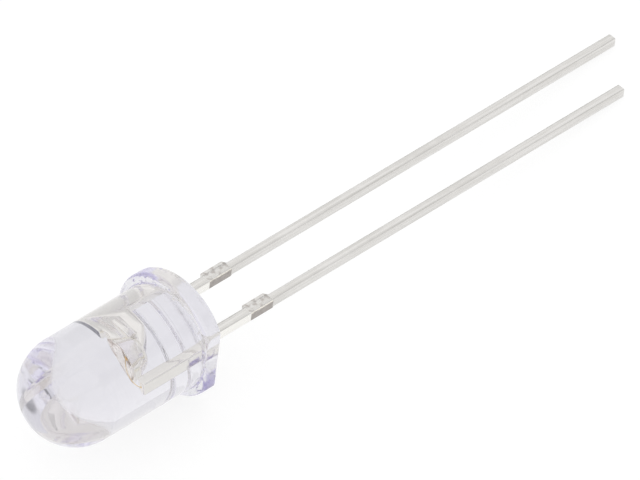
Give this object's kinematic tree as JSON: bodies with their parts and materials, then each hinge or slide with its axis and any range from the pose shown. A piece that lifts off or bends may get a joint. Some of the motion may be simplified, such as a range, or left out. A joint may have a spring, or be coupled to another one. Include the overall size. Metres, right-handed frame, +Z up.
{
  "type": "through-hole light-emitting diode",
  "caption": "Clear round LED with a domed lens, a flanged base flattened on the cathode side, and two straight leads for through-hole mounting.",
  "frame": {"origin": "centre of the seating face, the flat underside of the flange", "axes": "+Z up, as the part lies at rest; the dome faces -Y, the leads run towards +Y and slope down to the floor, and the cathode lead and the flat are on the +X side"},
  "size_m": [0.0055, 0.0359, 0.006],
  "materials": {
    "clear_epoxy": "clear, glossy",
    "plated_steel": "tinned steel, satin",
    "die_adhesive": "silver-filled adhesive",
    "semiconductor": "polished crystal",
    "gold_wire": "bright gold wire"
  },
  "bodies": {
    "root": {"lens_body": "clear_epoxy", "anode_lead": "plated_steel", "cathode_lead": "plated_steel", "die_attach": "die_adhesive", "led_chip": "semiconductor", "bond_wire": "gold_wire"}
  },
  "joints": []
}
